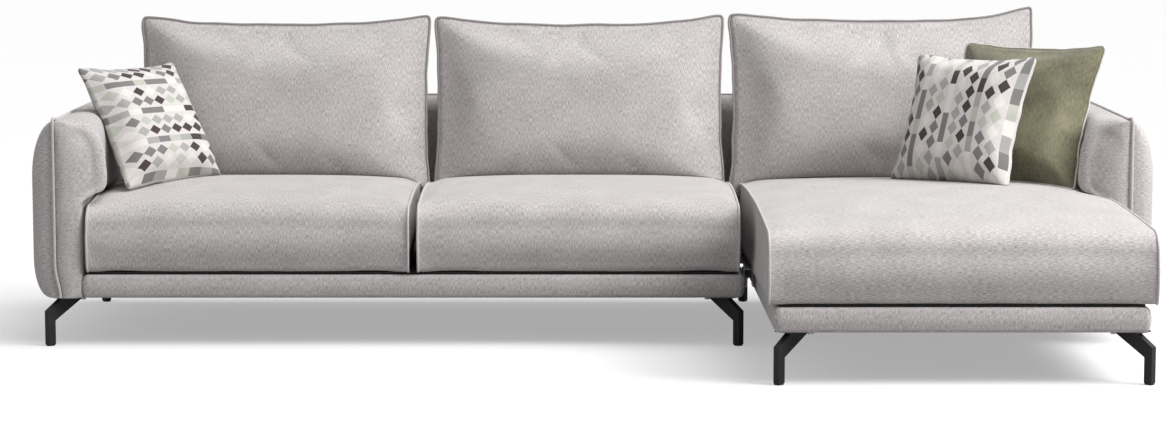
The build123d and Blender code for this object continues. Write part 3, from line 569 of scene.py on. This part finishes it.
# The low backrests of both units. A foam pad faces the cushions, and a puffed panel closes the
# rear; the cloth is stapled under the frame.
wall_height, wall_roll, wall_foot, wall_edge = 0.622, 0.046, 0.010, 0.004
back_cord = 0.0036
back_supports = {}
for unit in ("sofa", "chaise"):
    low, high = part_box(unit + "_back_pad")
    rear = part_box(unit + "_back_panel")[1].y
    face_low, face_high = base_low + wall_foot, wall_height - wall_roll
    outline = [(high.y, base_low), (low.y + wall_edge, base_low), (low.y, face_low)]
    for step in range(1, 8):
        outline.append((low.y, face_low + (face_high - face_low) * step / 7))
    for angle in quarter(10)[1:]:
        outline.append((low.y + wall_roll * (1 - math.cos(angle)), face_high + wall_roll * math.sin(angle)))
    for step in range(1, 5):
        outline.append((low.y + wall_roll + (high.y - low.y - wall_roll) * step / 4, wall_height))
    rows = []
    for y, height in outline:
        row = [Vector((low.x, high.y + (y - high.y) * step / 4, height)) for step in range(4)]
        for step in range(31):
            x = low.x + (high.x - low.x) * step / 30
            row.append(Vector((x, y, height)))
        row += [Vector((high.x, y + (high.y - y) * step / 4, height)) for step in range(1, 5)]
        rows.append(row)
    pad = sewn_sheet(unit + "_back_pad_cloth", rows, grey_cloth)
    face_outwards(pad)
    own_body(pad, unit + "_unit", unit + "_back_pad")
    back_supports[unit] = pad
    rows = []
    for r in range(29):
        height = base_low + (wall_height - base_low) * (1 - math.cos(math.pi * r / 28)) / 2
        row = []
        for c in range(61):
            x = low.x + (high.x - low.x) * (1 - math.cos(math.pi * c / 60)) / 2
            swell = puffed(min(x - low.x, high.x - x) / panel_rear)
            swell *= puffed((wall_height - height) / panel_high)
            swell *= 0.4 + 0.6 * puffed((height - base_low) / panel_low)
            row.append(Vector((x, high.y + (rear - high.y) * swell, height)))
        rows.append(row)
    panel = sewn_sheet(unit + "_back_panel_cloth", rows, grey_cloth)
    face_outwards(panel)
    own_body(panel, unit + "_unit", unit + "_back_panel")
    seam_height = wall_height + 0.0015
    seam = [Vector((low.x + (high.x - low.x) * step / 60, high.y, seam_height)) for step in range(61)]
    covered_cord(unit + "_back_welt", seam, back_cord, unit + "_unit")

# Seat cushions: two on the two-seat unit and the long one on the chaise. Each is a foam block in a
# cover whose top runs over the front edge; the side seams are piped up the front and along the top.


def stuffed(piece, pressure, steps, limit, stiffness=25.0):
    """Cloth simulation of a stuffed cover, with no gravity; no point moves further than the limit."""
    start = [v.co.copy() for v in piece.data.vertices]
    cloth = piece.modifiers.new("stuffing", "CLOTH")
    cloth.settings.quality = 5
    cloth.settings.mass = 0.3
    cloth.settings.air_damping = 2.0
    cloth.settings.tension_stiffness = stiffness
    cloth.settings.compression_stiffness = stiffness
    cloth.settings.shear_stiffness = stiffness / 3
    cloth.settings.bending_stiffness = 0.4
    cloth.settings.use_pressure = True
    cloth.settings.uniform_pressure_force = pressure
    cloth.settings.effector_weights.gravity = 0.0
    cloth.point_cache.frame_start = 1
    cloth.point_cache.frame_end = steps
    scene = bpy.context.scene
    for step in range(1, steps + 1):
        scene.frame_set(step)
    evaluated = piece.evaluated_get(bpy.context.evaluated_depsgraph_get())
    swollen = [v.co.copy() for v in evaluated.data.vertices]
    piece.modifiers.remove(cloth)
    scene.frame_set(1)
    for vertex, old, new in zip(piece.data.vertices, start, swollen):
        move = new - old
        if move.length > limit:
            move *= limit / move.length
        vertex.co = old + move


def seat_outline(front, rear, top, crown, bulge):
    """Closed side outline of a seat cushion, from the lower rear edge forwards round the front."""
    low, up, bottom = 0.019, 0.056, base_top + 0.001
    rise = top - up - bottom - low
    curve = [(rear - low - (rear - front - 2 * low) * step / 24, bottom) for step in range(25)]
    for angle in quarter(4)[1:]:
        curve.append((front + low * (1 - math.sin(angle)), bottom + low * (1 - math.cos(angle))))
    for step in range(1, 9):
        share = step / 9
        curve.append((front - bulge * math.sin(math.pi * share), bottom + low + rise * share))
    for angle in quarter(8):
        curve.append((front + up * (1 - math.cos(angle)), top - up * (1 - math.sin(angle))))
    for step in range(1, 36):
        share = step / 36
        curve.append((front + up + (rear - front - 2 * up) * share, top + crown * math.sin(math.pi * share)))
    for angle in quarter(8):
        curve.append((rear - up * (1 - math.sin(angle)), top - up * (1 - math.cos(angle))))
    for step in range(1, 8):
        curve.append((rear, top - up - rise * step / 8))
    for angle in quarter(4)[:-1]:
        curve.append((rear - low * (1 - math.cos(angle)), bottom + low * (1 - math.sin(angle))))
    return curve


def press_on(piece, supports, direction, gap=0.0012, reach=0.25):
    """Flatten a soft piece where it would go into what carries it."""
    for support in supports:
        tree = BVHTree.FromPolygons(
            [v.co for v in support.data.vertices], [tuple(p.vertices) for p in support.data.polygons]
        )
        for vertex in piece.data.vertices:
            hit = tree.ray_cast(vertex.co - direction * reach, direction, reach + gap)[0]
            if hit is not None:
                vertex.co = hit - direction * gap


seat_supports = {}
seat_top, side_drop, side_crown, side_dish = 0.382, 0.003, 0.020, 0.006
seat_gap, front_gap, rear_gap, touch, front_give = 0.004, 0.015, 0.004, 0.0005, 0.004
seat_bulge, dish_height = 0.006, 0.295
arm_face_x, arm_face_y = 1.3655, -0.140
seat_cord, under_arm = 0.0034, 0.005
under_points, rear_points = 25, 12
for node, body, crown in (
    ("seat_cushion_left", "seat_left", 0.033),
    ("seat_cushion_middle", "seat_middle", 0.033),
    ("chaise_cushion", "chaise_seat", 0.042),
):
    low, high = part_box(node)
    chaise = node == "chaise_cushion"
    stations = [math.copysign(1 - (1 - abs(s)) ** 1.5, s) for s in (step / 20 - 1 for step in range(41))]
    left, right = low.x + seat_gap, high.x - seat_gap
    front, rear = low.y + front_gap, high.y - rear_gap
    points, places, faces = [], [], []
    for share in stations:
        swell = 1 - abs(share) ** 3
        x = (left + right) / 2 + share * (right - left) / 2
        top = seat_top - side_drop * (1 - swell)
        crowned = side_crown + (crown - side_crown) * swell
        curve = seat_outline(front, rear, top, crowned, seat_bulge + seat_bulge * swell)
        ring = len(curve)
        along = 0.0
        for i, (y, height) in enumerate(curve):
            if i:
                along += math.hypot(y - curve[i - 1][0], height - curve[i - 1][1])
            points.append((x, y, height))
            places.append((along, x) if chaise else (x, along))
    for s in range(len(stations) - 1):
        for i in range(ring):
            j = (i + 1) % ring
            faces.append((s * ring + i, s * ring + j, (s + 1) * ring + j, (s + 1) * ring + i))
    for end, inwards in ((0, 1), (len(stations) - 1, -1)):
        rim = list(range(end * ring, end * ring + ring))
        middle = Vector((points[rim[0]][0], (front + rear) / 2, dish_height))
        last = rim
        for step in range(1, 6):
            fresh = []
            for index in rim:
                point = Vector(points[index]).lerp(middle, step / 6)
                point.x += inwards * side_dish * math.sin(math.pi / 2 * step / 6)
                fresh.append(len(points))
                points.append(tuple(point))
                places.append((point.z, point.y) if chaise else (point.y, point.z))
            for i in range(ring):
                j = (i + 1) % ring
                faces.append((last[i], last[j], fresh[j], fresh[i]))
            last = fresh
        points.append((middle.x + inwards * side_dish, middle.y, middle.z))
        places.append((middle.z, middle.y) if chaise else (middle.y, middle.z))
        for i in range(ring):
            faces.append((last[i], last[(i + 1) % ring], len(points) - 1))
    cushion = sewn_mesh(node + "_cover", points, faces, places, grey_cloth)
    face_outwards(cushion)
    stuffed(cushion, pressure=2.0, steps=14, limit=0.009)
    for vertex in cushion.data.vertices:
        vertex.co.z = max(vertex.co.z, base_top + touch)
        vertex.co.x = min(high.x - touch, max(low.x + touch, vertex.co.x))
        vertex.co.y = min(high.y - touch, max(low.y - front_give, vertex.co.y))
        if chaise and vertex.co.y > arm_face_y:
            vertex.co.x = min(vertex.co.x, arm_face_x)
    press_on(cushion, list(arm_supports.values()), Vector((0, 0, 1)), gap=seat_cord + under_arm)
    own_body(cushion, body, node)
    seat_supports[node] = cushion
    for name, end in (("left", 0), ("right", len(stations) - 1)):
        path = []
        for i in range(under_points, ring - rear_points):
            point = cushion.data.vertices[end * ring + i].co.copy()
            point.x = min(high.x - seat_cord, max(low.x + seat_cord, point.x))
            path.append(point)
        # The seat piping is in the lighter cord cloth, whose tone is a painted highlight.
        covered_cord(node + "_piping_" + name, path, seat_cord, body, material=highlight_painted_cord)

# Back cushions: loose pillows with a fibre filling, sewn from two panels with piping in the seam.
# They stand on the seats and lean on the backrest; their upper corners stand up.


def pillow_cover(name, width, height, front, rear, columns, rows, material):
    """Two flat panels sewn together round their edges; x across, z up, front towards -y."""
    points, places, faces, grid = [], [], [], []
    index = {}
    for face_side in (-1, 1):
        for r in range(rows + 1):
            for c in range(columns + 1):
                a, b = 2 * c / columns - 1, 2 * r / rows - 1
                rim = c in (0, columns) or r in (0, rows)
                if rim and (0, c, r) in index:
                    continue
                depth = front if face_side < 0 else rear
                lift = math.sqrt(max(0.0, 1 - a * a)) ** 0.9 * math.sqrt(max(0.0, 1 - b * b)) ** 0.9
                point = (a * width / 2, face_side * depth * lift, height / 2 + b * height / 2)
                index[(0 if rim else face_side, c, r)] = len(points)
                points.append(point)
                places.append((a * width / 2, b * height / 2))
                grid.append((a, b))
    for face_side in (-1, 1):
        for r in range(rows):
            for c in range(columns):
                corners = []
                for dc, dr in ((0, 0), (1, 0), (1, 1), (0, 1)):
                    rim = c + dc in (0, columns) or r + dr in (0, rows)
                    corners.append(index[(0 if rim else face_side, c + dc, r + dr)])
                faces.append(corners if face_side < 0 else corners[::-1])
    seam = [index[(0, c, 0)] for c in range(columns)] + [index[(0, columns, r)] for r in range(rows)]
    seam += [index[(0, c, rows)] for c in range(columns, 0, -1)]
    seam += [index[(0, 0, r)] for r in range(rows, 0, -1)]
    return sewn_mesh(name, points, faces, places, material), seam, grid


def stuff_pillow(cover, grid, pressure, side_pull, top_pull, foot_pull, fuller_foot, seed):
    """Stuff a cover; its faces swell by simulation, and its edges draw in between the corners."""
    flat = [v.co.copy() for v in cover.data.vertices]
    stuffed(cover, pressure, steps=20, limit=0.2)
    for vertex, start, (a, b) in zip(cover.data.vertices, flat, grid):
        move = vertex.co - start
        edge = max(abs(a), abs(b)) ** 5
        give = 0.4 * (1 - edge)
        uneven = edge * 0.004 * noise.noise(Vector((a * 4 + seed, b * 4, seed)))
        pull = top_pull if b > 0 else foot_pull
        vertex.co.x = start.x + give * move.x - side_pull * a * (1 - abs(b) ** 2.6) + uneven
        vertex.co.z = start.z + give * move.z - pull * b * (1 - abs(a) ** 3) + uneven
        vertex.co.y *= (1 - 0.8 * edge) * (1 - fuller_foot * b)
        corner = 0.011 * abs(a * b) ** 14
        vertex.co.x -= math.copysign(corner, a)
        vertex.co.z -= math.copysign(corner, b)
    for way in (-1, 1):
        half = max(way * v.co.y for v in cover.data.vertices)
        for vertex in cover.data.vertices:
            share = way * vertex.co.y / half
            if share > 0:
                vertex.co.y = way * half * (1 - (1 - share) ** 1.9)


def fit_to(piece, width, height, depth):
    """Scale a stuffed pillow to its finished size, standing on z 0 about the middle."""
    xs = [v.co.x for v in piece.data.vertices]
    ys = [v.co.y for v in piece.data.vertices]
    zs = [v.co.z for v in piece.data.vertices]
    for vertex in piece.data.vertices:
        vertex.co.x = (vertex.co.x - (max(xs) + min(xs)) / 2) * width / (max(xs) - min(xs))
        vertex.co.y = (vertex.co.y - (max(ys) + min(ys)) / 2) * depth / (max(ys) - min(ys))
        vertex.co.z = (vertex.co.z - min(zs)) * height / (max(zs) - min(zs))


back_lean, back_depth, back_sunk = math.radians(12), 0.206, 0.040
back_pieces = {}
for node, body, seat, unit, tall, left_ear, right_ear in (
    ("back_cushion_left", "back_left", "seat_cushion_left", "sofa", 0.522, 0.004, 0.008),
    ("back_cushion_middle", "back_middle", "seat_cushion_middle", "sofa", 0.522, 0.004, 0.010),
    ("back_cushion_right", "back_right", "chaise_cushion", "chaise", 0.536, 0.0, 0.024),
):
    low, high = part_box(node)
    width = high.x - low.x
    cover, seam, grid = pillow_cover(
        node + "_cover", width, tall, front=0.085, rear=0.070, columns=64, rows=38, material=grey_cloth
    )
    stuff_pillow(
        cover, grid, pressure=3.5, side_pull=0.017, top_pull=0.028, foot_pull=0.006, fuller_foot=0.16,
        seed=len(node)
    )
    fit_to(cover, width, tall, back_depth)
    for vertex in cover.data.vertices:
        a = 2 * vertex.co.x / width
        b = vertex.co.z / tall
        ear = left_ear if a < 0 else right_ear
        vertex.co.z += ear * abs(a) ** 6 * smooth_step((b - 0.5) / 0.5)
    turn = Matrix.Rotation(-back_lean, 3, "X")
    for vertex in cover.data.vertices:
        vertex.co = turn @ vertex.co
    ys = [v.co.y for v in cover.data.vertices]
    zs = [v.co.z for v in cover.data.vertices]
    shift = Vector(((low.x + high.x) / 2, high.y - max(ys), low.z - min(zs) - back_sunk))
    for vertex in cover.data.vertices:
        vertex.co += shift
    press_on(cover, [seat_supports[seat]], Vector((0, 0, -1)))
    press_on(cover, [back_supports[unit]], Vector((0, 1, 0)))
    own_body(cover, body, node)
    back_pieces[node] = cover
    edge = [cover.data.vertices[i].co.copy() for i in seam]
    covered_cord(node + "_piping", edge, back_cord, body, closed=True)

# Scatter cushions: two in a printed cloth and one in plain olive cloth with pale piping. They are
# fibre-filled squares that lean in the corners of the sofa.
printed, tree, shader = new_finish("print_cloth", 0.9, Sheen_Weight=0.15)
place = add_node(tree, "ShaderNodeUVMap", uv_map="cloth")
cloth = add_node(tree, "ShaderNodeGroup", node_tree=weave)
cloth.inputs["Dark"].default_value = (0.52, 0.49, 0.48, 1)
cloth.inputs["Light"].default_value = (0.72, 0.69, 0.68, 1)
cloth.inputs["Thread"].default_value = 0.0014
cloth.inputs["Mottle"].default_value = 0.1
tree.links.new(place.outputs["UV"], cloth.inputs["Place"])


def sums(operation, a, b=None):
    node = add_node(tree, "ShaderNodeMath", operation=operation)
    for socket, value in zip(node.inputs, (a, b)):
        if value is None:
            continue
        if isinstance(value, (int, float)):
            socket.default_value = value
        else:
            tree.links.new(value, socket)
    return node.outputs["Value"]


split = add_node(tree, "ShaderNodeSeparateXYZ")
tree.links.new(place.outputs["UV"], split.inputs["Vector"])
cell_width, cell_height = 0.044, 0.031
row_number = sums("FLOOR", sums("DIVIDE", split.outputs["Y"], cell_height))
row_place = sums("SUBTRACT", sums("FRACT", sums("DIVIDE", split.outputs["Y"], cell_height)), 0.5)
stagger = sums("MULTIPLY", sums("FLOORED_MODULO", row_number, 2.0), 0.5)
across = sums("ADD", sums("DIVIDE", split.outputs["X"], cell_width), stagger)
cell_number = sums("FLOOR", across)
cell_place = sums("SUBTRACT", sums("FRACT", across), 0.5)
lozenge = sums("LESS_THAN", sums("ADD", sums("ABSOLUTE", cell_place), sums("ABSOLUTE", row_place)), 0.5)
bar = sums("LESS_THAN", sums("ABSOLUTE", row_place), 0.3)
bar_row = sums("LESS_THAN", sums("FLOORED_MODULO", row_number, 3.0), 0.5)
bars = sums("MULTIPLY", bar, bar_row)
lozenges = sums("MULTIPLY", lozenge, sums("SUBTRACT", 1.0, bar_row))
motif = sums("MAXIMUM", bars, lozenges)
cell = add_node(tree, "ShaderNodeCombineXYZ")
tree.links.new(cell_number, cell.inputs["X"])
tree.links.new(row_number, cell.inputs["Y"])
chance = add_node(tree, "ShaderNodeTexWhiteNoise", noise_dimensions="2D")
tree.links.new(cell.outputs["Vector"], chance.inputs["Vector"])
inks = add_node(tree, "ShaderNodeValToRGB")
inks.color_ramp.interpolation = "CONSTANT"
stops = (
    (0.0, (0.050, 0.036, 0.034)), (0.26, (0.19, 0.185, 0.18)), (0.44, (0.36, 0.355, 0.34)),
    (0.62, (0.47, 0.48, 0.42)), (0.76, (0.70, 0.67, 0.63)),
)
while len(inks.color_ramp.elements) < len(stops):
    inks.color_ramp.elements.new(0.5)
for element, (position, ink) in zip(inks.color_ramp.elements, stops):
    element.position = position
    element.color = (*ink, 1)
tree.links.new(chance.outputs["Value"], inks.inputs["Fac"])
dyed = add_node(tree, "ShaderNodeMix", data_type="RGBA")
tree.links.new(motif, dyed.inputs["Factor"])
tree.links.new(cloth.outputs["Color"], dyed.inputs["A"])
tree.links.new(inks.outputs["Color"], dyed.inputs["B"])
tree.links.new(dyed.outputs["Result"], shader.inputs["Base Color"])
in_relief(tree, shader, cloth.outputs["Height"], 0.4, 0.0005)

olive_cloth = woven_cloth(
    "olive_cloth", (0.105, 0.098, 0.060), (0.235, 0.222, 0.140), thread=0.0026, mottle=0.8
)
pale_cord = cord_cloth("pale_cord_cloth", (0.50, 0.48, 0.42), (0.74, 0.72, 0.66))
scatter_depth, scatter_ease, scatter_sunk, scatter_cord = 0.130, 0.010, 0.004, 0.0024
for node, body, turn, lean, size, aside, material, cord, slot, seat, behind in (
    ("scatter_cushion_left", "scatter_left", 54, 30, 0.370, -0.014, printed, None, "print_fabric",
     "seat_cushion_left", ["left_arm", "back_cushion_left"]),
    ("scatter_cushion_olive", "scatter_olive", -36, 26, 0.418, 0.014, olive_cloth, pale_cord, "olive_fabric",
     "chaise_cushion", ["right_arm", "back_cushion_right"]),
    ("scatter_cushion_right", "scatter_right", -40, 22, 0.370, -0.016, printed, None, "print_fabric",
     "chaise_cushion", ["back_cushion_right", "scatter_cushion_olive"]),
):
    low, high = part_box(node)
    cover, seam, grid = pillow_cover(
        node + "_cover", size, size, front=0.050, rear=0.050, columns=44, rows=44, material=material
    )
    if node == "scatter_cushion_right":
        for spot in cover.data.uv_layers["cloth"].data:
            spot.uv = (spot.uv[1], -spot.uv[0])
    stuff_pillow(
        cover, grid, pressure=4.0, side_pull=0.020, top_pull=0.018, foot_pull=0.018, fuller_foot=0.08,
        seed=len(node)
    )
    fit_to(cover, size + scatter_ease, size + scatter_ease, scatter_depth)
    pose = Matrix.Rotation(math.radians(turn), 3, "Z") @ Matrix.Rotation(math.radians(-lean), 3, "X")
    for vertex in cover.data.vertices:
        vertex.co = pose @ vertex.co
    xs = [v.co.x for v in cover.data.vertices]
    ys = [v.co.y for v in cover.data.vertices]
    zs = [v.co.z for v in cover.data.vertices]
    x = (low.x + high.x - max(xs) - min(xs)) / 2 + aside
    y = (low.y + high.y - max(ys) - min(ys)) / 2
    shift = Vector((x, y, low.z - min(zs) - scatter_sunk))
    for vertex in cover.data.vertices:
        vertex.co += shift
    press_on(cover, [seat_supports[seat]], Vector((0, 0, -1)))
    angle = math.radians(turn)
    carriers = [arm_supports.get(name) or back_pieces[name] for name in behind]
    press_on(cover, carriers, Vector((-math.sin(angle), math.cos(angle), 0)))
    own_body(cover, body, node)
    back_pieces[node] = cover
    if cord:
        edge = [cover.data.vertices[i].co.copy() for i in seam]
        covered_cord(node + "_piping", edge, scatter_cord, body, cord, closed=True)

# The setting: a plain pale floor, soft studio light from the front right and above, and a camera
# at the height and distance of the photograph.
floor_mesh = bpy.data.meshes.new("studio_floor")
floor_mesh.from_pydata([(-30, -30, 0), (30, -30, 0), (30, 60, 0), (-30, 60, 0)], [], [(0, 1, 2, 3)])
floor = bpy.data.objects.new("studio_floor", floor_mesh)
bpy.context.collection.objects.link(floor)
pale, tree, shader = new_finish("pale_floor", 0.9)
shader.inputs["Specular IOR Level"].default_value = 0.0
seen = add_node(tree, "ShaderNodeMix", data_type="RGBA")
seen.inputs["A"].default_value = (0.36, 0.36, 0.36, 1)
seen.inputs["B"].default_value = (0.95, 0.95, 0.95, 1)
tree.links.new(seen.outputs["Result"], shader.inputs["Base Color"])
glow = add_node(tree, "ShaderNodeEmission", Strength=1.0)
path = add_node(tree, "ShaderNodeLightPath")
share = add_node(tree, "ShaderNodeMath", operation="MULTIPLY")
share.inputs[1].default_value = 0.39
lifted = add_node(tree, "ShaderNodeMixShader")
output = tree.nodes["Material Output"]
tree.links.new(path.outputs["Is Camera Ray"], share.inputs[0])
tree.links.new(path.outputs["Is Camera Ray"], seen.inputs["Factor"])
tree.links.new(share.outputs["Value"], lifted.inputs["Fac"])
tree.links.new(shader.outputs["BSDF"], lifted.inputs[1])
tree.links.new(glow.outputs["Emission"], lifted.inputs[2])
tree.links.new(lifted.outputs["Shader"], output.inputs["Surface"])
floor_mesh.materials.append(pale)

sky = bpy.data.lights.new("overhead_light", "SUN")
sky.energy = 2.5
sky.angle = math.radians(60)
holder = bpy.data.objects.new("overhead_light", sky)
holder.rotation_euler = Vector((-0.50, 0.11, -0.85)).to_track_quat("-Z", "Y").to_euler()
bpy.context.collection.objects.link(holder)


def softbox(name, energy, place, aim):
    """A square studio light that faces a point."""
    light = bpy.data.lights.new(name, "AREA")
    light.size = 2.4
    light.energy = energy
    holder = bpy.data.objects.new(name, light)
    holder.location = place
    holder.rotation_euler = (Vector(aim) - holder.location).to_track_quat("-Z", "Y").to_euler()
    bpy.context.collection.objects.link(holder)


softbox("key_softbox", 160, (3.9, -1.8, 3.2), (0.9, -0.2, 0.4))
softbox("fill_softbox", 14, (-3.8, -3.0, 2.2), (0.3, -0.2, 0.3))

world = bpy.data.worlds.new("studio")
world.use_nodes = True
world.node_tree.nodes["Background"].inputs["Color"].default_value = (1, 1, 1, 1)
world.node_tree.nodes["Background"].inputs["Strength"].default_value = 0.34
bpy.context.scene.world = world

lens = bpy.data.cameras.new("photo_camera")
lens.sensor_width = 36
lens.lens = 86.47
camera = bpy.data.objects.new("photo_camera", lens)
camera.location = (-0.0331, -7.587, 1.1226)
camera.rotation_euler = (math.radians(90 - 5.886), 0, math.radians(-0.057))
bpy.context.collection.objects.link(camera)
bpy.context.scene.camera = camera
bpy.context.scene.view_settings.view_transform = "Standard"
